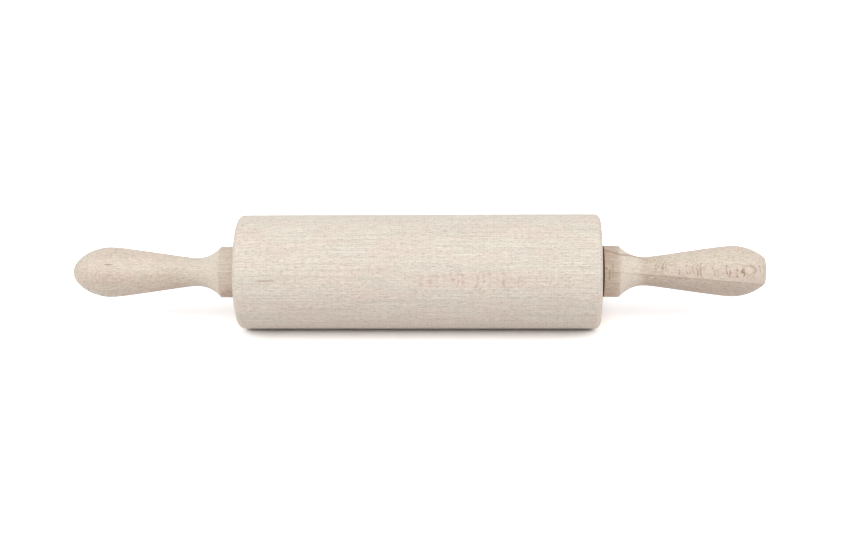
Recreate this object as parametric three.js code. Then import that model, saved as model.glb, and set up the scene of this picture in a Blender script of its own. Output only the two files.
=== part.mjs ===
// A wooden rolling pin: a turned roller that spins on a steel axle between two turned handles.
// Millimetres, +Z up. The axle lies along X. The origin is on the resting plane, under the middle
// of the roller. Every piece is turned, so each one is a profile revolved about the axle line.

import * as THREE from 'three';
import { mergeVertices } from 'three/addons/utils/BufferGeometryUtils.js';

// Roller
const rollerLength = 220;
const rollerDiameter = 69.5;
const rollerRimRadius = 3.6;

// Axle: a plain middle that the roller runs on, and a reduced thread at each end for the handles
const axleDiameter = 10;
const shoulderStep = 1;
const threadLength = 26;
const threadChamfer = 1;

// Bushes, pressed into the two ends of the roller with their flanges flush
const bushLength = 22;
const bushWall = 4;
const bushFlangeWidth = 3;
const bushFlangeThickness = 2;
const bushLeadIn = 1;

// Washers, loose on the axle between each bush and its handle
const washerWidth = 6;
const washerThickness = 1;

// Threaded inserts, barbed sleeves knocked into the handles
const insertLength = 16;
const insertWall = 2.2;
const insertBarbCount = 5;
const insertBarbDepth = 0.6;

// Handles: collar, cove down to the neck, swell up to the grip, and a rounded dome at the tip
const collarDiameter = 31.3;
const collarLength = 9.5;
const collarEdgeBreak = 0.5;
const neckDiameter = 17.4;
const coveLength = 15.5;
const gripDiameter = 30.9;
const swellLength = 53;
const domeLength = 23.4;
const rightTipTrim = 4;

// Shape of the handle's curves, as shares of the stretch that each one covers
const coveTurn = 0.42;
const swellStart = 0.1;
const swellEnd = 0.15;
const domeRoundness = 1.85;

// Clearances
const runningClearance = 0.08;
const seatClearance = 0.15;
const washerClearance = 0.3;
const threadClearance = 0.1;
const axleBoreRoom = 1;
const threadBoreRoom = 0.3;
const threadEndRoom = 1.5;
const endFloat = 0.45;
const floatStopClearance = 0.1;

// Facets around a turned piece, and steps along its curves
const sidesAround = 32;
const rimSteps = 5;
const coveSteps = 7;
const swellSteps = 9;
const domeSteps = 8;

// Derived sizes
const rollerRadius = rollerDiameter / 2;
const rollerHalfLength = rollerLength / 2;
const axleRadius = axleDiameter / 2;
const threadRadius = axleRadius - shoulderStep;
const bushBoreRadius = axleRadius + runningClearance;
const bushRadius = bushBoreRadius + bushWall;
const bushFlangeRadius = bushRadius + bushFlangeWidth;
const washerBoreRadius = axleRadius + washerClearance;
const washerRadius = washerBoreRadius + washerWidth;
const insertBoreRadius = threadRadius + threadClearance;
const insertRadius = insertBoreRadius + insertWall;
const collarFace = seatClearance + washerThickness + endFloat + floatStopClearance;

// A closed solid revolved about the X axis. The outline runs counter-clockwise in radius and
// distance along X, from axis to axis or back to its first point. Radii are measured across flats,
// and one flat faces straight down.
function turned(outline) {
  const acrossFlats = Math.cos(Math.PI / sidesAround);
  const points = outline.map(([radius, along]) => new THREE.Vector2(radius / acrossFlats, along));
  const lathe = new THREE.LatheGeometry(points, sidesAround, Math.PI / sidesAround);
  lathe.deleteAttribute('normal');
  lathe.deleteAttribute('uv');
  const closed = withoutEmptyTriangles(mergeVertices(lathe, 1e-4));
  closed.rotateZ(-Math.PI / 2);
  closed.computeVertexNormals();
  return closed;
}

// Where an outline meets the axis, half of each quad has no area.
function withoutEmptyTriangles(geometry) {
  const corners = geometry.getIndex().array;
  const kept = [];
  for (let first = 0; first < corners.length; first += 3) {
    const [a, b, c] = corners.subarray(first, first + 3);
    if (a !== b && b !== c && c !== a) kept.push(a, b, c);
  }
  geometry.setIndex(kept);
  return geometry;
}

function pointsOf(curve, steps) {
  return curve.getPoints(steps).map((point) => [point.x, point.y]);
}

function rollerGeometry() {
  const boreRadius = axleRadius + axleBoreRoom;
  const pocketRadius = bushRadius + seatClearance;
  const pocketFloor = rollerHalfLength - bushLength - seatClearance;
  const flangeSeatRadius = bushFlangeRadius + seatClearance;
  const flangeSeatFloor = rollerHalfLength - bushFlangeThickness - seatClearance;
  const rim = new THREE.EllipseCurve(
    rollerRadius - rollerRimRadius,
    rollerHalfLength - rollerRimRadius,
    rollerRimRadius,
    rollerRimRadius,
    0,
    Math.PI / 2,
  );
  const rightHalf = [
    ...pointsOf(rim, rimSteps),
    [flangeSeatRadius, rollerHalfLength],
    [flangeSeatRadius, flangeSeatFloor],
    [pocketRadius, flangeSeatFloor],
    [pocketRadius, pocketFloor],
    [boreRadius, pocketFloor],
  ];
  const leftHalf = rightHalf.map(([radius, along]) => [radius, -along]).reverse();
  return turned([...rightHalf, ...leftHalf, rightHalf[0]]);
}

function axleGeometry() {
  const shoulder = rollerHalfLength + collarFace - seatClearance;
  const end = rollerHalfLength + collarFace + threadLength;
  const rightHalf = [
    [axleRadius, shoulder],
    [threadRadius, shoulder],
    [threadRadius, end - threadChamfer],
    [threadRadius - threadChamfer, end],
    [0, end],
  ];
  const leftHalf = rightHalf.map(([radius, along]) => [radius, -along]).reverse();
  return turned([...leftHalf, ...rightHalf]);
}

// The bush, washer, insert and handle are drawn for the right-hand end of the pin, with the end
// face of the roller at zero and the handle pointing outwards.

function bushGeometry() {
  return turned([
    [bushBoreRadius, -bushLength],
    [bushRadius - bushLeadIn, -bushLength],
    [bushRadius, bushLeadIn - bushLength],
    [bushRadius, -bushFlangeThickness],
    [bushFlangeRadius, -bushFlangeThickness],
    [bushFlangeRadius, 0],
    [bushBoreRadius, 0],
    [bushBoreRadius, -bushLength],
  ]);
}

function washerGeometry() {
  const inner = seatClearance;
  const outer = seatClearance + washerThickness;
  return turned([
    [washerBoreRadius, inner],
    [washerRadius, inner],
    [washerRadius, outer],
    [washerBoreRadius, outer],
    [washerBoreRadius, inner],
  ]);
}

function insertGeometry() {
  const mouth = collarFace + seatClearance;
  const floor = mouth + insertLength;
  const barbLength = insertLength / insertBarbCount;
  const barbs = [];
  for (let barb = 0; barb < insertBarbCount; barb += 1) {
    const start = mouth + barb * barbLength;
    barbs.push([insertRadius, start]);
    barbs.push([insertRadius - insertBarbDepth, start + barbLength]);
  }
  return turned([
    [insertBoreRadius, mouth],
    ...barbs,
    [insertBoreRadius, floor],
    [insertBoreRadius, mouth],
  ]);
}

// The outside of a handle, from the rim of its collar to its tip. A trimmed tip ends in a flat.
function handleOutside(tipTrim) {
  const collarRadius = collarDiameter / 2;
  const neckRadius = neckDiameter / 2;
  const gripRadius = gripDiameter / 2;
  const collarEnd = collarFace + collarLength;
  const neck = collarEnd + coveLength;
  const grip = neck + swellLength;
  const cove = new THREE.QuadraticBezierCurve(
    new THREE.Vector2(collarRadius, collarEnd),
    new THREE.Vector2(neckRadius, collarEnd + coveTurn * coveLength),
    new THREE.Vector2(neckRadius, neck),
  );
  const swell = new THREE.CubicBezierCurve(
    new THREE.Vector2(neckRadius, neck),
    new THREE.Vector2(neckRadius, neck + swellStart * swellLength),
    new THREE.Vector2(gripRadius, grip - swellEnd * swellLength),
    new THREE.Vector2(gripRadius, grip),
  );
  const domePower = 2 / domeRoundness;
  const lastAngle = Math.asin((1 - tipTrim / domeLength) ** (1 / domePower));
  const dome = [];
  for (let step = 1; step <= domeSteps; step += 1) {
    const angle = (lastAngle * step) / domeSteps;
    const radius = gripRadius * Math.cos(angle) ** domePower;
    dome.push([radius, grip + domeLength * Math.sin(angle) ** domePower]);
  }
  return [
    [collarRadius - collarEdgeBreak, collarFace],
    [collarRadius, collarFace + collarEdgeBreak],
    ...pointsOf(cove, coveSteps),
    ...pointsOf(swell, swellSteps).slice(1),
    ...dome,
    [0, grip + domeLength - tipTrim],
  ];
}

function handleGeometry(tipTrim) {
  const pocketRadius = insertRadius + seatClearance;
  const pocketFloor = collarFace + insertLength + 2 * seatClearance;
  const boreRadius = threadRadius + threadBoreRoom;
  const boreFloor = collarFace + threadLength + threadEndRoom;
  return turned([
    [0, boreFloor],
    [boreRadius, boreFloor],
    [boreRadius, pocketFloor],
    [pocketRadius, pocketFloor],
    [pocketRadius, collarFace],
    ...handleOutside(tipTrim),
  ]);
}

function rollerWood() {
  return new THREE.MeshStandardMaterial({ color: 0xe4d5c2, roughness: 0.62, metalness: 0 });
}

function handleWood() {
  return new THREE.MeshStandardMaterial({ color: 0xd9c4ab, roughness: 0.58, metalness: 0 });
}

function axleSteel() {
  return new THREE.MeshStandardMaterial({ color: 0xb9bbbd, roughness: 0.32, metalness: 1 });
}

function washerSteel() {
  return new THREE.MeshStandardMaterial({ color: 0xa9abac, roughness: 0.4, metalness: 1 });
}

function bushPlastic() {
  return new THREE.MeshStandardMaterial({ color: 0xe9e4d6, roughness: 0.5, metalness: 0 });
}

function insertBrass() {
  return new THREE.MeshStandardMaterial({ color: 0xc6a258, roughness: 0.38, metalness: 1 });
}

function named(name, geometry, material) {
  const mesh = new THREE.Mesh(geometry, material);
  mesh.name = name;
  return mesh;
}

// One end of the pin: the bush in the roller, the washer on the axle, and the handle on its insert.
function endOf(side, tipTrim) {
  const end = new THREE.Group();
  end.add(named(`${side}_bush`, bushGeometry(), bushPlastic()));
  end.add(named(`${side}_washer`, washerGeometry(), washerSteel()));
  end.add(named(`${side}_insert`, insertGeometry(), insertBrass()));
  end.add(named(`${side}_handle`, handleGeometry(tipTrim), handleWood()));
  return end;
}

const rollingPin = new THREE.Group();
rollingPin.position.z = rollerRadius;
rollingPin.add(named('roller', rollerGeometry(), rollerWood()));
rollingPin.add(named('axle_rod', axleGeometry(), axleSteel()));

const rightEnd = endOf('right', rightTipTrim);
rightEnd.position.x = rollerHalfLength;
rollingPin.add(rightEnd);

const leftEnd = endOf('left', 0);
leftEnd.position.x = -rollerHalfLength;
leftEnd.rotation.z = Math.PI;
rollingPin.add(leftEnd);

export default rollingPin;
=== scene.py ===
# %% [markdown]
# A wooden rolling pin, dressed and lit.
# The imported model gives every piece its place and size. This script turns smooth pieces over those
# solids, gives them beech, steel, nylon and brass, and lights them for a plain product picture.

import math

import bmesh
import bpy
from mathutils import Matrix, Vector


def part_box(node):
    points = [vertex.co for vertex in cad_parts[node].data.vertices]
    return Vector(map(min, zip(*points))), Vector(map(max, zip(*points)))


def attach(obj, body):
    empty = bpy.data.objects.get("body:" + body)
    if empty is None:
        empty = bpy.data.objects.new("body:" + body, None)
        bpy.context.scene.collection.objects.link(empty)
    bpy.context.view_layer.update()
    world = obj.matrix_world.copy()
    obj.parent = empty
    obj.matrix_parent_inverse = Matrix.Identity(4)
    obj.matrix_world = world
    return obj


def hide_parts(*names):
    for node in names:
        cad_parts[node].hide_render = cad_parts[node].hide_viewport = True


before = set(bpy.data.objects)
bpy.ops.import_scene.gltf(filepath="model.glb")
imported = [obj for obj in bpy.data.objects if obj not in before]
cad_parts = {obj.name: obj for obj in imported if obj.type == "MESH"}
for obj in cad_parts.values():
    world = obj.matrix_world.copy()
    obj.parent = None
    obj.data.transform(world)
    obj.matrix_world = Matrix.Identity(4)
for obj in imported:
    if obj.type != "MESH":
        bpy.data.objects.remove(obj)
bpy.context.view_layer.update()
MM = 0.001
print("nodes in the frame:", sorted(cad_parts))

# %% [markdown]
# Shapes and finishes are both built from nodes here, and node trees grow long when every socket is
# set by hand. A few helpers keep them short. The first three fill a socket, make a node with its
# sockets filled, and give a node group its named inputs and outputs.

# %% Make and fill nodes
def feed(tree, socket, value):
    """Write a value on a socket, or link another node's output to it."""
    if isinstance(value, bpy.types.NodeSocket):
        tree.links.new(value, socket)
    else:
        socket.default_value = value


def add_node(tree, kind, inputs=(), **settings):
    """Make a node, choose its settings and then fill its sockets."""
    node = tree.nodes.new(kind)
    for name, value in settings.items():
        setattr(node, name, value)
    for socket, value in dict(inputs).items():
        feed(tree, node.inputs[socket], value)
    return node


def named_sockets(tree, side, kind, names):
    """Give a node group inputs or outputs of one kind."""
    for name in names:
        tree.interface.new_socket(name, in_out=side, socket_type="NodeSocket" + kind)


# %% [markdown]
# The others do sums. A mask is a number from 0 to 1 that says where something is: eased makes one with
# soft edges, and between turns one into any two levels.

# %% Sums with nodes
def calc(tree, operation, *values):
    """A sum of numbers."""
    return add_node(tree, "ShaderNodeMath", enumerate(values), operation=operation).outputs[0]


def vector_calc(tree, operation, *values):
    """A sum of vectors, which gives a number for a length or a dot product."""
    node = add_node(tree, "ShaderNodeVectorMath", enumerate(values), operation=operation)
    return node.outputs["Value" if operation in ("LENGTH", "DOT_PRODUCT") else "Vector"]


def eased(tree, value, low, high):
    """0 below low, 1 above high, with a smooth rise between. A low above high gives a fall."""
    ends = {"Value": value, "From Min": low, "From Max": high}
    return add_node(tree, "ShaderNodeMapRange", ends, interpolation_type="SMOOTHSTEP").outputs["Result"]


def between(tree, share, low, high):
    """low where the share is 0, high where it is 1."""
    return calc(tree, "MULTIPLY_ADD", share, high - low, low)


# %% [markdown]
# Every piece of a rolling pin is turned, so one rule makes them all: an outline swept round an axis.
# The Spin operator or a Screw modifier could do it. A Geometry Nodes tree is used instead, because its
# sizes stay named inputs, and because it can cut a thread on the way round.

# %% The lathe's inputs
LATHE = bpy.data.node_groups.new("turn_on_lathe", "GeometryNodeTree")
named_sockets(LATHE, "INPUT", "Geometry", ["Outline"])
named_sockets(LATHE, "INPUT", "Int", ["Outline Points", "Sides"])
named_sockets(LATHE, "INPUT", "Float", ["Axle Height", "Weld Distance", "Crease Angle"])
named_sockets(LATHE, "INPUT", "Float", ["Thread Radius", "Thread Pitch", "Thread Depth"])
named_sockets(LATHE, "INPUT", "Material", ["Finish"])
named_sockets(LATHE, "OUTPUT", "Geometry", ["Turned Piece"])
print("lathe inputs and output:", [item.name for item in LATHE.interface.items_tree])

# %% [markdown]
# The tree starts from a flat grid and moves each of its points. Every ring of the grid takes up the
# whole outline, and is turned a little further than the ring before it. A thread is a groove that
# moves on by one pitch with each turn. So the lathe counts the pitches along the axle, takes off the
# share of a turn, and cuts deepest half way between two pitches, but only where the outline keeps the
# radius of the thread.

# %% Where each point of a turned piece goes
THREAD_MATCH = 0.01 * MM


def outline_point(tree, given, index):
    """The point of the outline that a grid point takes up: X along the axle, Z the radius."""
    point = calc(tree, "MODULO", index, given["Outline Points"])
    outline = add_node(
        tree,
        "GeometryNodeSampleIndex",
        {"Geometry": given["Outline"], "Index": point},
        data_type="FLOAT_VECTOR",
    )
    feed(tree, outline.inputs["Value"], add_node(tree, "GeometryNodeInputPosition").outputs[0])
    return add_node(tree, "ShaderNodeSeparateXYZ", {"Vector": outline.outputs["Value"]}).outputs


def threaded_radius(tree, given, drawn, turn_share):
    """The radius of the outline, less the groove of a thread."""
    even_pitches = calc(tree, "DIVIDE", drawn["X"], given["Thread Pitch"])
    pitches = calc(tree, "SUBTRACT", even_pitches, turn_share)
    groove = calc(tree, "MULTIPLY", calc(tree, "PINGPONG", pitches, 0.5), 2.0)
    on_thread = calc(tree, "COMPARE", drawn["Z"], given["Thread Radius"], THREAD_MATCH)
    cut = calc(tree, "MULTIPLY", calc(tree, "MULTIPLY", groove, on_thread), given["Thread Depth"])
    return calc(tree, "SUBTRACT", drawn["Z"], cut)


def turned_place(tree, given):
    """The outline point of a grid point, turned about the axle and lifted to its height."""
    index = add_node(tree, "GeometryNodeInputIndex").outputs[0]
    ring = calc(tree, "FLOOR", calc(tree, "DIVIDE", index, given["Outline Points"]))
    turn_share = calc(tree, "DIVIDE", ring, given["Sides"])
    drawn = outline_point(tree, given, index)
    radius = threaded_radius(tree, given, drawn, turn_share)
    flat = add_node(tree, "ShaderNodeCombineXYZ", {"X": drawn["X"], "Z": radius})
    turned = add_node(
        tree,
        "ShaderNodeVectorRotate",
        {"Vector": flat.outputs[0], "Angle": calc(tree, "MULTIPLY", turn_share, math.tau)},
        rotation_type="X_AXIS",
    )
    lift = add_node(tree, "ShaderNodeCombineXYZ", {"Z": given["Axle Height"]})
    return vector_calc(tree, "ADD", turned.outputs[0], lift.outputs[0])


# %% [markdown]
# The last ring lies on the first, and points on the axle lie on each other, so both are welded. Edges
# that bend less than a limit are shaded smooth, and sharper ones stay crisp. Wood that is cut across
# its grain looks different, so each corner of the mesh also stores how far it faces along the axle.

# %% The lathe, as a Geometry Nodes tree
def smoothed(tree, given, mesh):
    bend = add_node(tree, "GeometryNodeInputMeshEdgeAngle").outputs["Unsigned Angle"]
    soft = calc(tree, "LESS_THAN", bend, given["Crease Angle"])
    kind = "GeometryNodeSetShadeSmooth"
    edges = add_node(tree, kind, {"Geometry": mesh, "Shade Smooth": soft}, domain="EDGE")
    return add_node(tree, kind, {"Geometry": edges.outputs[0]}, domain="FACE").outputs[0]


def with_end_grain(tree, mesh):
    normal = add_node(tree, "GeometryNodeInputNormal").outputs[0]
    facing = add_node(tree, "ShaderNodeSeparateXYZ", {"Vector": normal}).outputs
    along = calc(tree, "ABSOLUTE", facing["X"])
    stored = add_node(
        tree,
        "GeometryNodeStoreNamedAttribute",
        {"Geometry": mesh, "Name": "end_grain", "Value": along},
        data_type="FLOAT",
        domain="CORNER",
    )
    return stored.outputs[0]


def build_lathe(tree):
    given = add_node(tree, "NodeGroupInput").outputs
    rings = calc(tree, "ADD", given["Sides"], 1.0)
    counts = {"Vertices X": rings, "Vertices Y": given["Outline Points"]}
    grid = add_node(tree, "GeometryNodeMeshGrid", counts).outputs["Mesh"]
    placing = {"Geometry": grid, "Position": turned_place(tree, given)}
    shaped = add_node(tree, "GeometryNodeSetPosition", placing).outputs[0]
    welding = {"Geometry": shaped, "Distance": given["Weld Distance"]}
    welded = add_node(tree, "GeometryNodeMergeByDistance", welding).outputs[0]
    grained = with_end_grain(tree, smoothed(tree, given, welded))
    real = add_node(tree, "GeometryNodeRealizeInstances", {"Geometry": grained}).outputs[0]
    finishing = {"Geometry": real, "Material": given["Finish"]}
    finished = add_node(tree, "GeometryNodeSetMaterial", finishing).outputs[0]
    add_node(tree, "NodeGroupOutput", {"Turned Piece": finished})


build_lathe(LATHE)
print("lathe tree:", len(LATHE.nodes), "nodes")

# %% [markdown]
# A turned piece starts as a bare outline: a chain of points at a distance along the axle and a radius.
# The tree turns it while it is a modifier on that chain, and the result is copied to a plain mesh.
# Its faces are then set to point outwards, because half of the outlines run the other way round.

# %% Turn an outline into a finished piece
SIDES = 160
THREAD_SIDES = 72
THREAD_PITCH = 1.25 * MM
WELD = 0.002 * MM
CREASE = math.radians(28)
CUBIC_CM = 1e-6
roller_low, roller_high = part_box("roller")
AXLE_HEIGHT = (roller_low.z + roller_high.z) / 2
print("axle height:", round(AXLE_HEIGHT / MM, 2), "mm")


def shown(name, data):
    """An object in the scene for a mesh, a lamp or a camera."""
    made = bpy.data.objects.new(name, data)
    bpy.context.scene.collection.objects.link(made)
    return made


def outline_blank(name, outline):
    mesh = bpy.data.meshes.new(name + "_outline")
    points = [(along, 0.0, radius) for along, radius in outline]
    mesh.from_pydata(points, [(i, i + 1) for i in range(len(points) - 1)], [])
    return shown(name + "_blank", mesh)


def set_inputs(modifier, values):
    for item in modifier.node_group.interface.items_tree:
        if item.in_out == "INPUT" and item.name in values:
            modifier[item.identifier] = values[item.name]


def face_outwards(mesh):
    """Point the faces outwards, and measure the volume and the open edges."""
    work = bmesh.new()
    work.from_mesh(mesh)
    bmesh.ops.recalc_face_normals(work, faces=work.faces)
    open_edges = sum(not edge.is_manifold for edge in work.edges)
    volume = work.calc_volume()
    work.to_mesh(mesh)
    work.free()
    return volume, open_edges


def turn(name, outline, finish, thread_radius=0.0, thread_depth=0.0):
    """outline is a chain of (distance along X, radius), in metres, from axis to axis or closed."""
    blank = outline_blank(name, outline)
    lathe = blank.modifiers.new("lathe", "NODES")
    lathe.node_group = LATHE
    sizes = {
        "Outline Points": len(outline),
        "Sides": THREAD_SIDES if thread_depth else SIDES,
        "Axle Height": AXLE_HEIGHT,
        "Weld Distance": WELD,
        "Crease Angle": CREASE,
        "Thread Radius": thread_radius,
        "Thread Pitch": THREAD_PITCH,
        "Thread Depth": thread_depth,
        "Finish": finish,
    }
    set_inputs(lathe, sizes)
    bpy.context.view_layer.update()
    evaluated = blank.evaluated_get(bpy.context.evaluated_depsgraph_get())
    turned = bpy.data.meshes.new_from_object(evaluated)
    blank.modifiers.remove(lathe)
    bpy.data.objects.remove(blank)
    volume, open_edges = face_outwards(turned)
    turned.name = name
    print(f"{name}: {len(turned.polygons)} faces, {volume / CUBIC_CM:.1f} cm3, open edges {open_edges}")
    return shown(name, turned)


# %% [markdown]
# Beech is a pale wood with a few marks that show on a turned piece.
# Growth rings make lines along the grain, and tongues where they touch the surface. Rays are thin
# ribbons that run out from the heart of the tree, and show as short brown dashes. Fibres make long
# fine streaks. A flat picture of wood would smear on the domes and rims, so the figure is solid: it
# is worked out from the place of each point in the blank, in millimetres from the heart of the tree.
# The first helper makes noise that is long along the grain.

# %% Noise along the grain
NOISE_MIDDLE = 0.5


def grain_noise(tree, place, length, width, detail=2.0, roughness=0.5):
    shrunk = vector_calc(tree, "MULTIPLY", place, (1 / length, 1 / width, 1 / width))
    noise = add_node(
        tree,
        "ShaderNodeTexNoise",
        {"Vector": shrunk, "Scale": 1.0, "Detail": detail, "Roughness": roughness},
    )
    return noise.outputs["Fac"]


# %% [markdown]
# A growth ring darkens slowly through the year and ends at once, so a ring is a saw-tooth of the
# distance from the heart. Years are neither equally wide nor equally dark: a slow noise shifts them,
# and the number of the year gives each its own tone.

# %% Growth rings
YEAR_NOISE = 0.3
YEAR_CHANGE = 2.4
YEAR_TONES = (0.4, 1.3)
LATE_WOOD_RISE = 2.5
LATE_WOOD_END = 0.8


def growth_rings(tree, from_heart, ring_width):
    even_years = calc(tree, "DIVIDE", from_heart, ring_width)
    slow = {"W": even_years, "Scale": YEAR_NOISE}
    change = add_node(tree, "ShaderNodeTexNoise", slow, noise_dimensions="1D")
    years = calc(tree, "MULTIPLY_ADD", change.outputs["Fac"], YEAR_CHANGE, even_years)
    season = calc(tree, "FRACT", years)
    rise = calc(tree, "POWER", season, LATE_WOOD_RISE)
    late_wood = calc(tree, "MULTIPLY", rise, eased(tree, season, 1.0, LATE_WOOD_END))
    number = calc(tree, "FLOOR", years)
    tone = add_node(tree, "ShaderNodeTexWhiteNoise", {"W": number}, noise_dimensions="1D")
    return calc(tree, "MULTIPLY", late_wood, between(tree, tone.outputs["Value"], *YEAR_TONES))


# %% [markdown]
# A ray is tall along the grain, thin across it and deep towards the heart.
# A texture of cells, stretched in those three directions, gives one ribbon to a cell, and only a share
# of the cells is marked.

# %% Rays
RIBBON_EDGE = 0.45
RIBBON_CORE = 0.15


def ray_ribbons(tree, along, around, outwards, height, thickness, depth, share):
    cell = add_node(
        tree,
        "ShaderNodeCombineXYZ",
        {
            "X": calc(tree, "DIVIDE", along, height),
            "Y": calc(tree, "DIVIDE", around, thickness),
            "Z": calc(tree, "DIVIDE", outwards, depth),
        },
    )
    cells = add_node(tree, "ShaderNodeTexVoronoi", {"Vector": cell.outputs[0], "Scale": 1.0})
    ribbon = eased(tree, cells.outputs["Distance"], RIBBON_EDGE, RIBBON_CORE)
    pick = add_node(tree, "ShaderNodeSeparateColor", {"Color": cells.outputs["Color"]})
    return calc(tree, "MULTIPLY", ribbon, eased(tree, pick.outputs["Red"], 1.0 - share, 1.0))


# %% [markdown]
# The marks come together in a node group, because all three blanks use it with their own values.
# The heart line leans against the blank, so rings run out of the surface and don't follow it for ever.
# Breaks interrupt the rings, as they do where a lathe tool tears or skips the soft wood.

# %% Beech figure, as a shader node group
# Length along the grain and width across it in millimetres, then the detail and roughness of the noise
WAVE_GRAIN = (40, 18)
GAP_GRAIN = (2.5, 2.2)
CLUSTER_GRAIN = (11, 11, 1.0)
FIBRE_GRAIN = (45, 0.7, 3.0, 0.65)
SPECKLE_GRAIN = (3.0, 0.42, 2.0, 0.6)
BLUSH_GRAIN = (26, 10, 1.0)
# Height along the grain, thickness and depth in millimetres, then the share that is marked
RAY_SIZES = (4.2, 0.6, 9.0, 0.3)
FLECK_SIZES = (2.1, 0.4, 5.0, 0.9)
GAP_EDGES = (0.35, 0.6)
CLUSTER_EDGES = (0.38, 0.56)
FIGURE_MARKS = ("Rings", "Breaks", "Rays", "Flecks", "Fibres", "Speckle", "Blush")


def heart_distance(tree, axes, lean):
    across = add_node(tree, "ShaderNodeCombineXYZ", {"Y": axes["Y"], "Z": axes["Z"]}).outputs[0]
    leaning = add_node(tree, "ShaderNodeVectorMath", {0: lean, "Scale": axes["X"]}, operation="SCALE")
    return vector_calc(tree, "LENGTH", vector_calc(tree, "ADD", across, leaning.outputs[0]))


def beech_figure_group():
    tree = bpy.data.node_groups.new("beech_figure", "ShaderNodeTree")
    named_sockets(tree, "INPUT", "Vector", ["Place", "Lean"])
    named_sockets(tree, "INPUT", "Float", ["Heart Distance", "Ring Width", "Wander"])
    named_sockets(tree, "OUTPUT", "Float", FIGURE_MARKS)
    given = add_node(tree, "NodeGroupInput").outputs
    place = given["Place"]
    axes = add_node(tree, "ShaderNodeSeparateXYZ", {"Vector": place}).outputs
    from_heart = heart_distance(tree, axes, given["Lean"])
    angle = calc(tree, "ARCTAN2", axes["Z"], axes["Y"])
    around = calc(tree, "MULTIPLY", angle, given["Heart Distance"])
    wave = calc(tree, "SUBTRACT", grain_noise(tree, place, *WAVE_GRAIN), NOISE_MIDDLE)
    grown = calc(tree, "MULTIPLY_ADD", wave, given["Wander"], from_heart)
    gaps = eased(tree, grain_noise(tree, place, *GAP_GRAIN), *GAP_EDGES)
    clusters = eased(tree, grain_noise(tree, place, *CLUSTER_GRAIN), *CLUSTER_EDGES)
    marks = {
        "Rings": growth_rings(tree, grown, given["Ring Width"]),
        "Breaks": calc(tree, "MULTIPLY", gaps, clusters),
        "Rays": ray_ribbons(tree, axes["X"], around, from_heart, *RAY_SIZES),
        "Flecks": ray_ribbons(tree, axes["X"], around, from_heart, *FLECK_SIZES),
        "Fibres": grain_noise(tree, place, *FIBRE_GRAIN),
        "Speckle": grain_noise(tree, place, *SPECKLE_GRAIN),
        "Blush": grain_noise(tree, place, *BLUSH_GRAIN),
    }
    add_node(tree, "NodeGroupOutput", marks)
    return tree


BEECH_FIGURE = beech_figure_group()
print("beech figure:", len(BEECH_FIGURE.nodes), "nodes")

# %% [markdown]
# Beech often has a darker heart with a sharp edge that runs along the grain.
# A second group makes that stain: everything on one side of a slightly wavy plane, with fine lines
# that follow its edge.

# %% Dark heart, as a shader node group
HEART_WAVE_GRAIN = (30, 12)
HEART_WAVE = 1.6
HEART_EDGES = (-0.1, 0.3)
HEART_LINE_RISE = 2.0


def dark_heart_group():
    tree = bpy.data.node_groups.new("dark_heart", "ShaderNodeTree")
    named_sockets(tree, "INPUT", "Vector", ["Place", "Side"])
    named_sockets(tree, "INPUT", "Float", ["Line Spacing"])
    named_sockets(tree, "OUTPUT", "Float", ["Stain", "Lines"])
    given = add_node(tree, "NodeGroupInput").outputs
    even_depth = vector_calc(tree, "DOT_PRODUCT", given["Place"], given["Side"])
    swing = grain_noise(tree, given["Place"], *HEART_WAVE_GRAIN)
    wave = calc(tree, "SUBTRACT", swing, NOISE_MIDDLE)
    depth = calc(tree, "MULTIPLY_ADD", wave, HEART_WAVE, even_depth)
    stain = eased(tree, depth, *HEART_EDGES)
    season = calc(tree, "FRACT", calc(tree, "DIVIDE", depth, given["Line Spacing"]))
    lines = calc(tree, "MULTIPLY", calc(tree, "POWER", season, HEART_LINE_RISE), stain)
    add_node(tree, "NodeGroupOutput", {"Stain": stain, "Lines": lines})
    return tree


DARK_HEART = dark_heart_group()
print("dark heart:", len(DARK_HEART.nodes), "nodes")

# %% [markdown]
# Colours are easiest to choose as they look on a screen, from 0 to 255, but shaders work with linear
# light. The first helper converts them by the standard curve of a screen. The others mix two colours,
# darken a colour by a value, and turn noise into a value about 1.

# %% Colour helpers
def linear(red, green, blue):
    """A colour as seen, 0 to 255, as the linear colour that shaders work in."""
    shares = (channel / 255 for channel in (red, green, blue))
    return (*(s / 12.92 if s <= 0.04045 else ((s + 0.055) / 1.055) ** 2.4 for s in shares), 1.0)


def blend(tree, factor, first, second, way="MIX"):
    mixing = {"Factor": factor, "A": first, "B": second}
    return add_node(tree, "ShaderNodeMix", mixing, data_type="RGBA", blend_type=way).outputs["Result"]


def grey(tree, level):
    channels = {"Red": level, "Green": level, "Blue": level}
    return add_node(tree, "ShaderNodeCombineColor", channels).outputs[0]


def darken(tree, colour, shade):
    return blend(tree, 1.0, colour, grey(tree, shade), "MULTIPLY")


def around_middle(tree, noise, strength):
    return calc(tree, "MULTIPLY_ADD", calc(tree, "SUBTRACT", noise, NOISE_MIDDLE), strength, 1.0)


print("half way on a screen is", round(linear(128, 128, 128)[0], 3), "of full light")

# %% [markdown]
# Some marks are single ones: a brown dash, a soft patch, a band round a collar. The dashes are marks
# in the wood, and the soft patches and bands are mostly painted highlight and painted shade.
# Each is an ellipsoid somewhere in the blank that fades out at its edge. One that is thin and lies edge
# on to the viewer is a dash, one that is broad is a soft spot, and one that is far wider than the
# blank is a band round it. Places and reaches are in metres, as the blank lies in the pin.

# %% Single marks
MARK_CORE = 0.45
NO_TURN = (0.0, 0.0, 0.0)
EDGE_ON = -25.0
DASH_DEPTH = 10.0 * MM
DASH_THICKNESS = 0.6 * MM
DASH_BROWN = linear(160, 122, 94)
ALL_ROUND = 200.0 * MM


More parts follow.
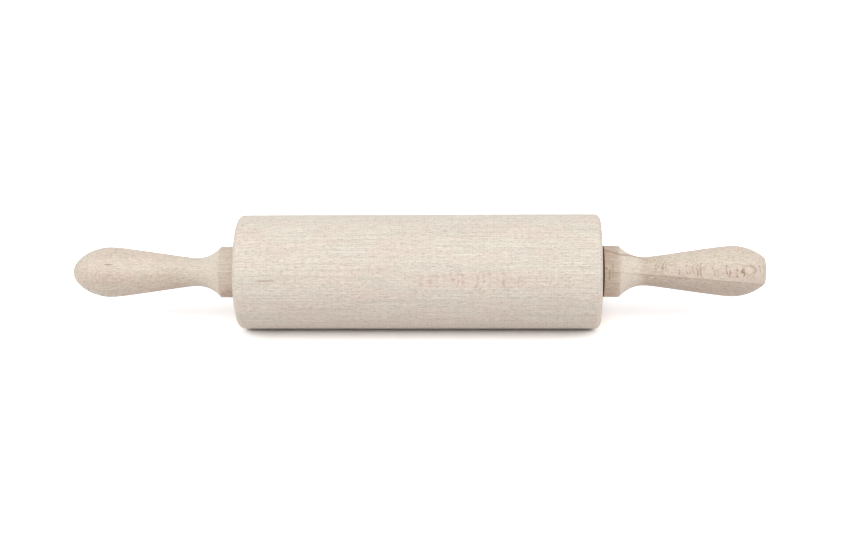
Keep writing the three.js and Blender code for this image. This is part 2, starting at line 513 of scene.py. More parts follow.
def inside(tree, place, middle, reach, angles=NO_TURN):
    """1 in the middle of an ellipsoid, fading to 0 at its reach."""
    near = add_node(
        tree,
        "ShaderNodeMapping",
        {"Vector": place, "Location": middle, "Rotation": angles, "Scale": reach},
        vector_type="TEXTURE",
    )
    return eased(tree, vector_calc(tree, "LENGTH", near.outputs[0]), 1.0, MARK_CORE)


def spot(middle, reach, tone, strength, angles=NO_TURN):
    """A soft patch in another tone."""
    return {"middle": middle, "reach": reach, "tone": tone, "strength": strength, "angles": angles}


def dash(middle, reach, strength, fall=0.0, tilt=EDGE_ON):
    """A thin brown sheet that falls to the right and tilts to the viewer, by angles in degrees."""
    angles = (math.radians(tilt), math.radians(fall), 0.0)
    return spot(middle, (reach, DASH_DEPTH, DASH_THICKNESS), DASH_BROWN, strength, angles)


def band(along, reach, tone, strength):
    """A stretch of the blank in another tone, all the way round."""
    return spot((along, 0.0, AXLE_HEIGHT), (reach, ALL_ROUND, ALL_ROUND), tone, strength)


# %% [markdown]
# Each blank says where the heart of its tree lay, how wide its rings are, and how strong each mark is.
# The heart, the rings and their wander are in millimetres, and places and reaches in metres.
# These two helpers place the figure and the dark heart in a blank. The heart lies behind the pin as it
# is seen here, so the rings face the viewer and open into tongues.

# %% Figure and dark heart of a blank
def figure_of(tree, place, blank):
    """The marks of the figure group, in millimetres from the heart of the tree."""
    from_heart = add_node(
        tree,
        "ShaderNodeMapping",
        {"Vector": place, "Location": blank["heart"], "Scale": (1 / MM, 1 / MM, 1 / MM)},
    )
    growth = {
        "Place": from_heart.outputs[0],
        "Lean": blank["lean"],
        "Heart Distance": blank["distance"],
        "Ring Width": blank["ring_width"],
        "Wander": blank["wander"],
    }
    return add_node(tree, "ShaderNodeGroup", growth, node_tree=BEECH_FIGURE).outputs


def heartwood_of(tree, place, stain):
    """How far the wood is stained by the dark heart."""
    from_edge = add_node(
        tree,
        "ShaderNodeMapping",
        {"Vector": place, "Location": stain["edge"], "Scale": (MM, MM, MM)},
        vector_type="TEXTURE",
    )
    edge = {"Place": from_edge.outputs[0], "Side": stain["side"], "Line Spacing": stain["spacing"]}
    heart = add_node(tree, "ShaderNodeGroup", edge, node_tree=DARK_HEART).outputs
    plain = calc(tree, "MULTIPLY", heart["Stain"], stain["strength"])
    lined = calc(tree, "MULTIPLY_ADD", heart["Lines"], stain["lines"], plain)
    return calc(tree, "MULTIPLY", lined, inside(tree, place, stain["middle"], stain["reach"]))


# %% [markdown]
# The colour of the wood is laid on in coats, from the broad to the fine: blush, dark heart, end grain,
# rings, rays, single marks, and last the fibres and speckle that darken and lighten all of them.
# End grain drinks light, so the faces that cut across the grain are darker and show every ring.

# %% Colour of the wood
BLUSH_EDGES = (0.3, 0.75)
END_GRAIN_SHARE = 0.7
END_GRAIN_FOCUS = 9.0
END_GRAIN_RINGS = 0.45


def ground_colour(tree, place, blank, mark, in_patch):
    """Wood without lines: cream, blushing to tan, and stained by the dark heart."""
    tones = blank["tones"]
    all_over = eased(tree, mark["Blush"], *BLUSH_EDGES)
    blush = calc(tree, "MULTIPLY_ADD", in_patch, blank["patch"]["blush"], all_over)
    colour = blend(tree, blush, tones["cream"], tones["tan"])
    if "stain" in blank:
        colour = blend(tree, heartwood_of(tree, place, blank["stain"]), colour, tones["heart"])
    return colour


def wood_colour(tree, place, blank, mark):
    tones = blank["tones"]
    strength = blank["marks"]
    patch = blank["patch"]
    in_patch = inside(tree, place, patch["middle"], patch["reach"])
    colour = ground_colour(tree, place, blank, mark, in_patch)
    end_grain = add_node(tree, "ShaderNodeAttribute", attribute_name="end_grain").outputs["Fac"]
    cut_across = calc(tree, "POWER", end_grain, END_GRAIN_FOCUS)
    colour = blend(tree, calc(tree, "MULTIPLY", cut_across, END_GRAIN_SHARE), colour, tones["end"])
    in_patches = calc(tree, "MULTIPLY_ADD", in_patch, patch["rings"], strength["rings"])
    on_sides = calc(tree, "MULTIPLY", in_patches, mark["Breaks"])
    ring_strength = calc(tree, "MULTIPLY_ADD", cut_across, END_GRAIN_RINGS, on_sides)
    colour = blend(tree, calc(tree, "MULTIPLY", mark["Rings"], ring_strength), colour, tones["late"])
    for kind in ("Rays", "Flecks"):
        ribbons = calc(tree, "MULTIPLY", mark[kind], strength[kind.lower()])
        colour = blend(tree, ribbons, colour, tones["ray"])
    # Single marks include painted highlights and painted shade, laid on as colour
    for single in blank["single"]:
        found = inside(tree, place, single["middle"], single["reach"], single["angles"])
        colour = blend(tree, calc(tree, "MULTIPLY", found, single["strength"]), colour, single["tone"])
    fibres = around_middle(tree, mark["Fibres"], strength["fibres"])
    speckle = around_middle(tree, mark["Speckle"], strength["speckle"])
    return darken(tree, colour, calc(tree, "MULTIPLY", fibres, speckle))


# %% [markdown]
# Bare sanded beech is dull, and the fibres that shine less also stand up a little. So the same fibres
# drive the roughness, and a very shallow bump. One function makes the finish of all three blanks.

# %% Beech, as a material
BEECH_ROUGHNESS = (0.5, 0.66)
SPECKLE_RELIEF = 0.5
GRAIN_RELIEF = 0.2
GRAIN_DEPTH = 0.1 * MM


def new_finish(name):
    """A new material: its node tree, the sockets of its shader, and the place of each point."""
    material = bpy.data.materials.new(name)
    material.use_nodes = True
    tree = material.node_tree
    place = add_node(tree, "ShaderNodeTexCoord").outputs["Object"]
    return material, tree, tree.nodes["Principled BSDF"].inputs, place


def raised(tree, height, strength, depth):
    relief = {"Height": height, "Strength": strength, "Distance": depth}
    return add_node(tree, "ShaderNodeBump", relief).outputs[0]


def beech(name, **blank):
    material, tree, surface, place = new_finish(name)
    mark = figure_of(tree, place, blank)
    relief = calc(tree, "MULTIPLY_ADD", mark["Speckle"], SPECKLE_RELIEF, mark["Fibres"])
    feed(tree, surface["Base Color"], wood_colour(tree, place, blank, mark))
    feed(tree, surface["Roughness"], between(tree, mark["Fibres"], *BEECH_ROUGHNESS))
    feed(tree, surface["Normal"], raised(tree, relief, GRAIN_RELIEF, GRAIN_DEPTH))
    print(f"{name}: {len(tree.nodes)} nodes, {len(blank['single'])} single marks")
    return material


# %% [markdown]
# The roller is the palest blank, almost without figure. It has one patch of faint tongues to the right
# of the middle, where the rings just touch the surface, and one dash near its left end.

# %% The roller's blank
ROLLER_TONES = {
    "cream": linear(233, 224, 208),
    "tan": linear(235, 220, 205),
    "late": linear(198, 160, 137),
    "ray": linear(176, 141, 112),
    "end": linear(194, 166, 139),
}
roller_beech = beech(
    "roller_wood",
    heart=(0.0, -75.0, -12.0),
    lean=(0.0, 0.16, -0.018),
    distance=110.0,
    ring_width=0.72,
    wander=0.7,
    tones=ROLLER_TONES,
    marks={"rings": 0.04, "rays": 0.4, "flecks": 0.7, "fibres": 0.6, "speckle": 0.8},
    patch={
        "middle": (0.048, -0.0325, 0.0445),
        "reach": (0.066, 0.02, 0.0075),
        "rings": 0.95,
        "blush": 0.5,
    },
    single=[dash((-0.0901, -0.0334, 0.0444), 0.0085, 0.5)],
)

# %% [markdown]
# The handles are a little warmer than the roller, and the left one is plain. It gets a painted
# highlight above the middle of the grip and painted light over the cove and collar, painted shade under
# the grip and on the underside of the collar, and painted shade on the collar's face in the gap at the
# washer. Its lower side, as seen, is tinted a little darker, with faint lines along the tint's edge.

# %% The left handle's blank
HANDLE_TONES = {
    "cream": linear(226, 213, 194),
    "tan": linear(226, 207, 191),
    "late": linear(168, 133, 105),
    "ray": linear(170, 133, 104),
    "heart": linear(198, 181, 165),
    "end": linear(186, 155, 126),
}
# Painted light: a paler tone for a painted highlight on the grip and painted light on coves and collar
PAINTED_LIGHT = linear(243, 231, 214)
# A browner tone: mostly painted shade on the collars and under the left grip, and also a browner neck
BROWN_AND_PAINTED_SHADE = linear(186, 158, 134)
# Painted shade: a near-black brown on the collar's face in the dark gap by the washer
PAINTED_GAP_SHADE = linear(60, 36, 24)
# The direction that points upwards in the picture
AS_SEEN_UP = Vector((0.0, 0.42, 0.91))
left_beech = beech(
    "left_handle_wood",
    heart=(0.0, -50.0, -8.0),
    lean=(0.0, 0.0175, 0.0105),
    distance=65.0,
    ring_width=1.6,
    wander=1.5,
    tones=HANDLE_TONES,
    marks={"rings": 0.12, "rays": 0.3, "flecks": 0.7, "fibres": 0.6, "speckle": 0.8},
    patch={
        "middle": (-0.1694, -0.0048, 0.0468),
        "reach": (0.013, 0.006, 0.006),
        "rings": 0.1,
        "blush": 0.8,
    },
    single=[
        # Painted highlight on the grip, painted shade under it, painted light on cove and collar,
        # painted shade on the collar and its underside, painted shade in the gap
        spot((-0.17, -0.0115, 0.0438), (0.05, 0.02, 0.006), PAINTED_LIGHT, 0.28),
        spot((-0.166, -0.0135, 0.0345), (0.055, 0.02, 0.005), BROWN_AND_PAINTED_SHADE, 0.12),
        band(-0.122, 0.028, PAINTED_LIGHT, 0.5),
        band(-0.1155, 0.0085, BROWN_AND_PAINTED_SHADE, 0.08),
        spot((-0.1155, -0.011, 0.024), (0.0075, 0.014, 0.009), BROWN_AND_PAINTED_SHADE, 0.5),
        band(-0.1117, 0.0004, PAINTED_GAP_SHADE, 0.95),
        dash((-0.1882, -0.0114, 0.0451), 0.0036, 0.65),
    ],
    stain={
        "edge": (-0.116, 0.0, 0.0347),
        "side": -(AS_SEEN_UP + Vector((-0.21, 0.0, 0.0))).normalized(),
        "spacing": 1.5,
        "strength": 0.1,
        "lines": 0.18,
        "middle": (-0.16, 0.0, AXLE_HEIGHT),
        "reach": (ALL_ROUND, ALL_ROUND, ALL_ROUND),
    },
)

# %% [markdown]
# The right handle comes from nearer the heart of its tree. Its heart line leans strongly, so the rings
# cross the grip as a row of arcs, and the dark heart fills its lower side from neck to tip, with a
# brown line along the edge. Its collar gets more painted shade than the left one, its cove painted
# light, and its neck a browner stretch.

# %% The right handle's blank
right_beech = beech(
    "right_handle_wood",
    heart=(122.0, 49.242, 54.85),
    lean=(0.0, -0.386, -0.165),
    distance=85.0,
    ring_width=0.9,
    wander=0.7,
    tones=HANDLE_TONES,
    marks={"rings": 0.1, "rays": 0.2, "flecks": 0.7, "fibres": 0.6, "speckle": 0.8},
    patch={
        "middle": (0.169, -0.0125, 0.0413),
        "reach": (0.058, 0.02, 0.0045),
        "rings": 1.5,
        "blush": 0.0,
    },
    single=[
        # Painted light on the cove, a browner neck, painted shade on the collar and in the gap
        band(0.127, 0.011, PAINTED_LIGHT, 0.55),
        band(0.1405, 0.011, BROWN_AND_PAINTED_SHADE, 0.12),
        band(0.1155, 0.0085, BROWN_AND_PAINTED_SHADE, 0.3),
        band(0.1117, 0.0004, PAINTED_GAP_SHADE, 0.95),
        dash((0.124, -0.0025, 0.047), 0.02, 0.5, fall=15.0, tilt=-14.0),
        dash((0.158, -0.0122, 0.0362), 0.055, 0.35, fall=5.2),
    ],
    stain={
        "edge": (0.158, -0.0122, 0.0362),
        "side": -(AS_SEEN_UP + Vector((0.08, 0.0, 0.0))).normalized(),
        "spacing": 1.2,
        "strength": 0.5,
        "lines": 0.45,
        "middle": (0.19, 0.0, AXLE_HEIGHT),
        "reach": (0.08, ALL_ROUND, ALL_ROUND),
    },
)

# %% [markdown]
# Outlines are straight stretches, arcs and curves. A curve here is pulled towards its control points,
# which is how a drawn cove or swell keeps its flow. No lathe tool leaves a knife edge, so a corner gets
# a small curve too. The two ends of the pin are alike, so many outlines are drawn once and mirrored.

# %% Curves for the outlines
def steps(count):
    return [i / count for i in range(count + 1)]


def curve(controls, count):
    """A curve from the first control point to the last, pulled towards those between."""
    points = []
    for t in steps(count):
        row = [Vector(control) for control in controls]
        while len(row) > 1:
            row = [a.lerp(b, t) for a, b in zip(row, row[1:])]
        points.append(tuple(row[0]))
    return points


def corner(before, at, after, reach, count=4):
    """A corner eased by a small curve that starts and ends a reach away from it."""
    at = Vector(at)
    start = at + (Vector(before) - at).normalized() * reach
    end = at + (Vector(after) - at).normalized() * reach
    return curve((start, at, end), count)


def mirrored(outline):
    return [(-along, radius) for along, radius in reversed(outline)]


# %% [markdown]
# The roller is one thick barrel with rounded rims.
# Its ends are counterbored for the bushes, and a bore for the axle runs right through. A cylinder with
# a Bevel modifier would give the barrel, but not these pockets, so the whole section is drawn once.

# %% The roller
RIM_RADIUS = 3.6 * MM
RIM_STEPS = 14
SEAT_GAP = 0.15 * MM
AXLE_ROOM = 1.0 * MM
EDGE_EASE = 0.3 * MM
FLANGE_WIDTH = 3.0 * MM
FLANGE_THICKNESS = 2.0 * MM
roller_half = roller_high.x
roller_radius = roller_high.y
bush_low, bush_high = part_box("right_bush")
axle_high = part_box("axle_rod")[1]


def roller_rim():
    centre = Vector((roller_half - RIM_RADIUS, roller_radius - RIM_RADIUS))
    angles = [t * math.pi / 2 for t in steps(RIM_STEPS)]
    return [tuple(centre + RIM_RADIUS * Vector((math.sin(a), math.cos(a)))) for a in angles]


def roller_outline():
    flange_radius = bush_high.y + SEAT_GAP
    bush_radius = flange_radius - FLANGE_WIDTH
    seat_floor = roller_half - FLANGE_THICKNESS - SEAT_GAP
    pocket_floor = bush_low.x - SEAT_GAP
    bore_radius = axle_high.y + AXLE_ROOM
    mouth = (roller_half, flange_radius)
    seat = (seat_floor, flange_radius)
    right = [
        *roller_rim(),
        *corner((roller_half, roller_radius), mouth, seat, EDGE_EASE),
        seat,
        (seat_floor, bush_radius),
        (pocket_floor, bush_radius),
        (pocket_floor, bore_radius),
    ]
    return [*right, *mirrored(right), right[0]]


roller = turn("beech_roller", roller_outline(), roller_beech)
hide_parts("roller")
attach(roller, "roller")

# %% [markdown]
# A handle is a collar, a cove that runs down to the neck, a long swell and a rounded dome.
# A scaled sphere would end too bluntly, so the dome is an ellipse that is a little pointed, which a
# power of sine and cosine gives.

# %% Curves of a handle
NECK_RADIUS = 8.7 * MM
GRIP_RADIUS = 15.45 * MM
SWELL_LENGTH = 53.0 * MM
SWELL_START = 0.1
SWELL_END = 0.15
SWELL_STEPS = 36
DOME_LENGTH = 23.4 * MM
DOME_ROUNDNESS = 1.85
DOME_STEPS = 28


def swell(neck, grip):
    controls = (
        (neck, NECK_RADIUS),
        (neck + SWELL_START * SWELL_LENGTH, NECK_RADIUS),
        (grip - SWELL_END * SWELL_LENGTH, GRIP_RADIUS),
        (grip, GRIP_RADIUS),
    )
    return curve(controls, SWELL_STEPS)


def dome(grip, trim):
    """From the grip to the tip, cut short by the trim."""
    power = 2 / DOME_ROUNDNESS
    last = math.asin((1 - trim / DOME_LENGTH) ** (1 / power))
    points = []
    for t in steps(DOME_STEPS)[1:]:
        along = grip + DOME_LENGTH * math.sin(last * t) ** power
        radius = GRIP_RADIUS * max(math.cos(last * t), 0.0) ** power
        points.append((along, radius))
    return points


print("a whole dome ends at", round(dome(0.0, 0.0)[-1][0] / MM, 2), "mm past the grip")

# %% [markdown]
# The two handles are turned alike, but the right one is cut short and ends in a small flat. The outline
# starts at the floor of the bore, goes out past the collar's face and along the outside to the tip.

# %% The handles
COLLAR_LENGTH = 9.5 * MM
COLLAR_EDGE = 0.5 * MM
COVE_LENGTH = 15.5 * MM
COVE_TURN = 0.42
COVE_STEPS = 24
# The eased shoulder stands in for the first points of the cove
COVE_POINTS_EASED = 2
SHOULDER = 1.0 * MM
THREAD_ROOM = 0.3 * MM
THREAD_END_ROOM = 1.5 * MM


def handle_outside(face, collar_radius, tip):
    collar_end = face + COLLAR_LENGTH
    neck = collar_end + COVE_LENGTH
    grip = neck + SWELL_LENGTH
    face_rim = (face, collar_radius)
    shoulder = (collar_end, collar_radius)
    cove_turn = (collar_end + COVE_TURN * COVE_LENGTH, NECK_RADIUS)
    cove = curve((shoulder, cove_turn, (neck, NECK_RADIUS)), COVE_STEPS)
    outside = [
        *corner((face, 0.0), face_rim, shoulder, COLLAR_EDGE),
        *corner(face_rim, shoulder, cove_turn, EDGE_EASE),
        *cove[COVE_POINTS_EASED:],
        *swell(neck, grip)[1:],
        *dome(grip, max(grip + DOME_LENGTH - tip, 0.0)),
    ]
    if outside[-1][1] > WELD:
        outside.append((tip, 0.0))
    return outside


def handle_outline(side):
    low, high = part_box(side + "_handle")
    insert_low, insert_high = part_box(side + "_insert")
    face = min(abs(low.x), abs(high.x))
    tip = max(abs(low.x), abs(high.x))
    pocket_radius = insert_high.y + SEAT_GAP
    pocket_floor = max(abs(insert_low.x), abs(insert_high.x)) + SEAT_GAP
    bore_radius = axle_high.y - SHOULDER + THREAD_ROOM
    bore_floor = axle_high.x + THREAD_END_ROOM
    return [
        (bore_floor, 0.0),
        (bore_floor, bore_radius),
        (pocket_floor, bore_radius),
        (pocket_floor, pocket_radius),
        (face, pocket_radius),
        *handle_outside(face, high.y, tip),
    ]


right_handle = turn("right_beech_handle", handle_outline("right"), right_beech)
left_handle = turn("left_beech_handle", mirrored(handle_outline("left")), left_beech)
for handle, node in ((right_handle, "right_handle"), (left_handle, "left_handle")):
    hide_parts(node)
    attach(handle, "handles")

# %% [markdown]
# Steel, nylon and brass hide inside, and only a line of them shows at the collars.
# Turned metal keeps fine rings from the tool, so its noise is short along the axle and long round it.
# The rings tint the surface, change its gloss, and are cut in by a hair's breadth. A picture of brushed
# metal would need unwrapping, but noise that reads the place of each point doesn't.

# %% Metal and plastic finishes
TOOL_MARK_GRAIN = (0.15 * MM, 4.0 * MM)
TOOL_MARK_RELIEF = 0.15
TOOL_MARK_DEPTH = 0.02 * MM


def plain_finish(name, light, dark, metallic, roughness):
    material, tree, surface, place = new_finish(name)
    tool_marks = grain_noise(tree, place, *TOOL_MARK_GRAIN)
    feed(tree, surface["Base Color"], blend(tree, tool_marks, light, dark))
    feed(tree, surface["Roughness"], between(tree, tool_marks, *roughness))
    feed(tree, surface["Normal"], raised(tree, tool_marks, TOOL_MARK_RELIEF, TOOL_MARK_DEPTH))
    surface["Metallic"].default_value = metallic
    print(f"{name}: {len(tree.nodes)} nodes")
    return material


axle_steel = plain_finish(
    "axle_steel", linear(200, 201, 203), linear(178, 180, 183), metallic=1.0, roughness=(0.25, 0.37)
)
washer_steel = plain_finish(
    "washer_steel", linear(190, 191, 192), linear(165, 167, 169), metallic=1.0, roughness=(0.32, 0.52)
)
bush_nylon = plain_finish(
    "bush_nylon", linear(235, 230, 217), linear(225, 219, 204), metallic=0.0, roughness=(0.42, 0.58)
)
insert_brass = plain_finish(
    "insert_brass", linear(206, 170, 98), linear(184, 148, 78), metallic=1.0, roughness=(0.3, 0.45)
)

# %% [markdown]
# The axle runs in the bushes, stops at a shoulder and ends in a thread. A Screw modifier would make the
# thread as a shell of its own, but here it belongs to the rod. The lathe can only move points that are
# there, so the outline has a dozen of them to each pitch.

# %% The axle
THREAD_RADIUS = axle_high.y - SHOULDER
THREAD_DEPTH = 0.6 * MM
THREAD_CHAMFER = 1.0 * MM
THREAD_STEP = THREAD_PITCH / 12
SHOULDER_EDGE = 0.2 * MM
SHOULDER_PAST_WASHER = 0.4 * MM


def straight(start, end, radius):
    """A straight stretch with the close points that a thread needs."""
    count = max(1, round(abs(end - start) / THREAD_STEP))
    return [(start + (end - start) * t, radius) for t in steps(count)]


def axle_outline():
    end = axle_high.x
    shoulder = -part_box("left_washer")[0].x + SHOULDER_PAST_WASHER
    right = [
        *corner((0.0, axle_high.y), (shoulder, axle_high.y), (shoulder, 0.0), SHOULDER_EDGE),
        *straight(shoulder, end - THREAD_CHAMFER, THREAD_RADIUS),
        (end, THREAD_RADIUS - THREAD_CHAMFER),
        (end, 0.0),
    ]
    return [*mirrored(right), *right]


axle = turn("axle", axle_outline(), axle_steel, THREAD_RADIUS, THREAD_DEPTH)
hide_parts("axle_rod")
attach(axle, "handles")

# %% [markdown]
# A bush, a washer and an insert sit at each end. One function turns such a piece for the right end,
# and its mirror image for the left. The bush is a flanged sleeve with a lead-in, and the washer is a
# plain ring. Both have a closed outline, whose corners are all eased.

# %% Bushes and washers
BUSH_LEAD_IN = 1.0 * MM
BUSH_EDGE = 0.2 * MM
RUNNING_GAP = 0.08 * MM
WASHER_EDGE = 0.15 * MM
WASHER_GAP = 0.3 * MM
RING_EASE_STEPS = 3


def eased_ring(controls, reach):
    """A closed outline through some corners, with each corner eased."""
    points = []
    for i, at in enumerate(controls):
        after = controls[(i + 1) % len(controls)]
        points.extend(corner(controls[i - 1], at, after, reach, RING_EASE_STEPS))
    return [*points, points[0]]


def bush_outline():
    bore = axle_high.y + RUNNING_GAP
    body = bush_high.y - FLANGE_WIDTH
    flange = bush_high.x - FLANGE_THICKNESS
    controls = [
        (bush_low.x, bore),
        (bush_low.x, body - BUSH_LEAD_IN),
        (bush_low.x + BUSH_LEAD_IN, body),
        (flange, body),
        (flange, bush_high.y),
        (bush_high.x, bush_high.y),
        (bush_high.x, bore),
    ]
    return eased_ring(controls, BUSH_EDGE)


def washer_outline():
    low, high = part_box("right_washer")
    bore = axle_high.y + WASHER_GAP
    controls = [(low.x, bore), (low.x, high.y), (high.x, high.y), (high.x, bore)]
    return eased_ring(controls, WASHER_EDGE)


def turn_pair(kind, outline, slot, finish, body, *thread):
    for side, chain in (("right", outline), ("left", mirrored(outline))):
        piece = turn(f"{side}_turned_{kind}", chain, finish, *thread)
        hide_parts(f"{side}_{kind}")
        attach(piece, body)


turn_pair("bush", bush_outline(), "bush_nylon", bush_nylon, "roller")
turn_pair("washer", washer_outline(), "washer_steel", washer_steel, "washers")

# %% [markdown]
# The insert is a brass sleeve that is knocked into the handle. Saw-tooth barbs outside keep it there,
# and the axle screws into the thread inside. That thread is cut outwards, so its depth is negative.

# %% Inserts
BARB_COUNT = 5
BARB_DEPTH = 0.6 * MM
THREAD_GAP = 0.1 * MM
INSERT_BORE = THREAD_RADIUS + THREAD_GAP
INSERT_THREAD_DEPTH = -0.5 * MM


def insert_outline():
    low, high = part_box("right_insert")
    length = high.x - low.x
    barbs = []
    for i in range(BARB_COUNT):
        barbs.append((low.x + length * i / BARB_COUNT, high.y))
        barbs.append((low.x + length * (i + 1) / BARB_COUNT, high.y - BARB_DEPTH))
    return [*barbs, *straight(high.x, low.x, INSERT_BORE), barbs[0]]


insert_thread = (INSERT_BORE, INSERT_THREAD_DEPTH)
turn_pair("insert", insert_outline(), "insert_brass", insert_brass, "handles", *insert_thread)

# %% [markdown]
# The pin lies on a white floor with no edge in sight. A curved backdrop would do, but a large plane
# that meets a white world is simpler, and looks the same from every side.

# %% The floor
FLOOR_HALF = 4.0
CORNER_SIGNS = ((-1, -1), (1, -1), (1, 1), (-1, 1))
floor_corners = [(x * FLOOR_HALF, y * FLOOR_HALF, 0) for x, y in CORNER_SIGNS]
floor_mesh = bpy.data.meshes.new("floor")
floor_mesh.from_pydata(floor_corners, [], [(0, 1, 2, 3)])
floor = shown("floor", floor_mesh)
print("floor:", 2 * FLOOR_HALF, "m square")

# %% [markdown]
# A floor that looks pure white under plain light would throw too much light back at the pin. So what
# the camera sees of it differs from what lights the pin, and Light Path tells the two apart. Metal and
# glass should show the same white, so glossy and transmission rays count as seen. The seen floor is
# bright in front of the pin, and beside the ends it is painted brighter: painted light that washes the
# handles' shadows out to a faint one. Close under the roller it is painted darker: a painted contact
# shadow for a firm line of contact. Far away it glows plain white.

# %% How the floor looks
WHITE = (1.0, 1.0, 1.0, 1.0)
FLOOR_BOUNCE = (0.72, 0.69, 0.70, 1.0)
FLOOR_SEEN_UNDER = 0.65
FLOOR_SEEN = 1.5
FLOOR_SEEN_ASIDE = 1.9
UNDER_EDGES = (8.0 * MM, 14.0 * MM)
RIM_EDGES = (roller_half - 8.0 * MM, roller_half - 1.0 * MM)
ASIDE_EDGES = (roller_half - 6.0 * MM, roller_half + 12.0 * MM)
FAR_EDGES = (0.5, 1.0)


def seen_directly(tree):
    """1 for what the camera sees straight, in a mirror or through glass."""
    path = add_node(tree, "ShaderNodeLightPath").outputs
    seen_or_glossy = calc(tree, "MAXIMUM", path["Is Camera Ray"], path["Is Glossy Ray"])
    return calc(tree, "MAXIMUM", seen_or_glossy, path["Is Transmission Ray"])


def floor_level(tree, place):
    """How bright the floor is where it is seen."""
    axes = add_node(tree, "ShaderNodeSeparateXYZ", {"Vector": place}).outputs
    along = calc(tree, "ABSOLUTE", axes["X"])
    # Painted shadow: the seen floor is darker close under the roller, along the roller's length
    past_the_rim = eased(tree, along, *RIM_EDGES)
    in_the_open = eased(tree, calc(tree, "ABSOLUTE", axes["Y"]), *UNDER_EDGES)
    clear = calc(tree, "MAXIMUM", past_the_rim, in_the_open)
    in_front = between(tree, clear, FLOOR_SEEN_UNDER, FLOOR_SEEN)
    # Painted light: the seen floor is brighter beside the ends, over the handles' shadows
    aside = eased(tree, along, *ASIDE_EDGES)
    return calc(tree, "MULTIPLY_ADD", aside, FLOOR_SEEN_ASIDE - FLOOR_SEEN, in_front)


def floor_finish():
    material = bpy.data.materials.new("white_sweep")
    material.use_nodes = True
    tree = material.node_tree
    tree.nodes.clear()
    place = add_node(tree, "ShaderNodeTexCoord").outputs["Object"]
    seen = seen_directly(tree)
    tone = blend(tree, seen, FLOOR_BOUNCE, grey(tree, floor_level(tree, place)))
    matte = add_node(tree, "ShaderNodeBsdfDiffuse", {"Color": tone}).outputs[0]
    glow = add_node(tree, "ShaderNodeEmission", {"Color": WHITE, "Strength": 1.0}).outputs[0]
    far = calc(tree, "MULTIPLY", eased(tree, vector_calc(tree, "LENGTH", place), *FAR_EDGES), seen)
    mixed = add_node(tree, "ShaderNodeMixShader", {0: far, 1: matte, 2: glow}).outputs[0]
    add_node(tree, "ShaderNodeOutputMaterial", {"Surface": mixed})
    print(f"floor finish: {len(tree.nodes)} nodes")
    return material


floor_mesh.materials.append(floor_finish())

# %% [markdown]
# The world is the white room round the pin. The camera sees it as white, but it lights the pin more
# softly and a little cooler, so that the lamps still shape the wood.

# %% The world
AMBIENT = 0.46
AMBIENT_TONE = (0.97, 1.0, 1.04, 1.0)


def white_room(tree):
    tree.nodes.clear()
    seen = seen_directly(tree)
    tone = blend(tree, seen, AMBIENT_TONE, WHITE)
    light = {"Color": tone, "Strength": between(tree, seen, AMBIENT, 1.0)}
    sky = add_node(tree, "ShaderNodeBackground", light).outputs[0]
    add_node(tree, "ShaderNodeOutputWorld", {"Surface": sky})


world = bpy.data.worlds.new("white_studio")
bpy.context.scene.world = world
world.use_nodes = True
white_room(world.node_tree)
print("world:", AMBIENT, "of full light on the pin")

# %% [markdown]
# Product pictures are lit by softboxes, which are broad lamps with soft shadows. A wide one hangs above
# the camera and makes the top of the pin the brightest. One on each side lights the ends, and a faint
# one low behind the pin draws its upper edge. They stay at a plain level, where a colour renders about
# as it is written.

# %% Lamps
PIN_MIDDLE = Vector((0.0, 0.0, AXLE_HEIGHT))
# Place, width and depth in metres, and power in watts
SOFTBOXES = {
    "wide_softbox": ((0.0, -0.7, 1.3), 3.0, 1.4, 6.9),
    "back_softbox": ((0.0, 1.25, 0.42), 2.0, 0.7, 1.7),
    "left_softbox": ((-1.25, -0.6, 0.95), 1.0, 1.0, 7.5),
    "right_softbox": ((1.25, -0.6, 0.95), 1.0, 1.0, 7.5),
}


def soft_lamp(name, place, width, depth, watts):
    data = bpy.data.lights.new(name, "AREA")
    data.shape = "RECTANGLE"
    data.size = width
    data.size_y = depth
    data.energy = watts
    lamp = shown(name, data)
    lamp.location = place
    lamp.rotation_euler = (PIN_MIDDLE - Vector(place)).to_track_quat("-Z", "Y").to_euler()
    print(f"{name}: {watts} W, {lamp.location.length:.2f} m away")


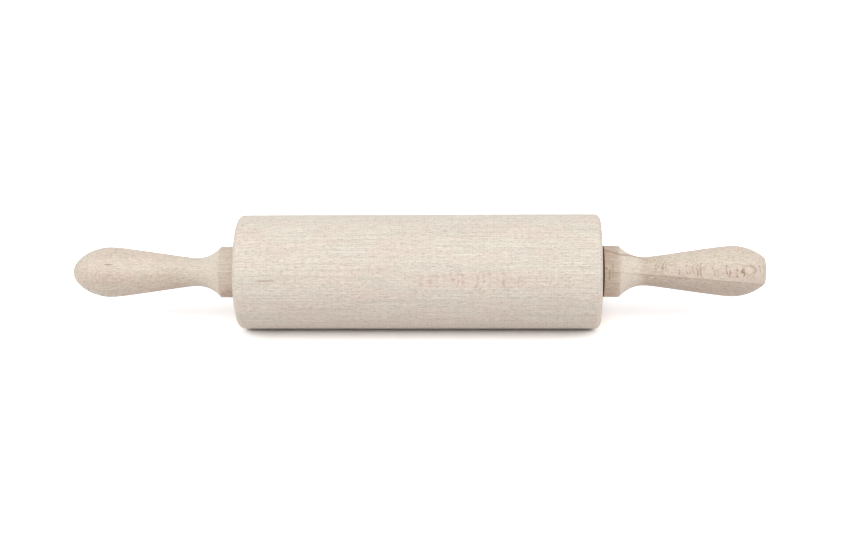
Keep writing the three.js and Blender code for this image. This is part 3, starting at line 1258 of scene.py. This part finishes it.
for lamp_name, lamp_sizes in SOFTBOXES.items():
    soft_lamp(lamp_name, *lamp_sizes)

# %% [markdown]
# The camera stands a metre away, above the pin and a little to its right. Its lens is given by the
# size of the picture: a focal length in pixels becomes one in millimetres on the sensor.

# %% Lens
PHOTO_WIDTH = 855
PHOTO_HEIGHT = 535
FOCAL_PIXELS = 1638.0
camera_data = bpy.data.cameras.new("camera")
camera_data.sensor_fit = "HORIZONTAL"
camera_data.lens = camera_data.sensor_width * FOCAL_PIXELS / PHOTO_WIDTH
print("lens:", round(camera_data.lens, 2), "mm")

# %% [markdown]
# The camera looks along a line with a rise and a turn. It is then rolled until the axle has the slope
# that it has in the picture, and moved aside until the middle of the pin lies at its own pixel.

# %% Place of the camera
CAMERA_DISTANCE = 1.0
CAMERA_RISE = math.radians(25)
CAMERA_TURN = math.radians(2.8)
AXLE_SLOPE = math.radians(-0.1)
PIN_PIXEL_X = 419.1
PIN_PIXEL_Y = 271.6
METRES_PER_PIXEL = CAMERA_DISTANCE / FOCAL_PIXELS


def camera_matrix():
    level = math.cos(CAMERA_RISE)
    across, towards = math.sin(CAMERA_TURN) * level, -math.cos(CAMERA_TURN) * level
    back = Vector((across, towards, math.sin(CAMERA_RISE)))
    upright = (-back).to_track_quat("-Z", "Y")
    axle_seen = upright.inverted() @ Vector((1.0, 0.0, 0.0))
    slope_now = -math.atan2(axle_seen.y, axle_seen.x)
    print("axle slope before the roll:", round(math.degrees(slope_now), 2), "degrees")
    rolled = upright.to_matrix() @ Matrix.Rotation(AXLE_SLOPE - slope_now, 3, "Z")
    aside = Vector((PHOTO_WIDTH / 2 - PIN_PIXEL_X, PIN_PIXEL_Y - PHOTO_HEIGHT / 2, 0.0))
    place = PIN_MIDDLE + back * CAMERA_DISTANCE + rolled @ (aside * METRES_PER_PIXEL)
    return Matrix.Translation(place) @ rolled.to_4x4()


camera = shown("camera", camera_data)
camera.matrix_world = camera_matrix()
bpy.context.scene.camera = camera
bpy.context.scene.view_settings.view_transform = "Standard"
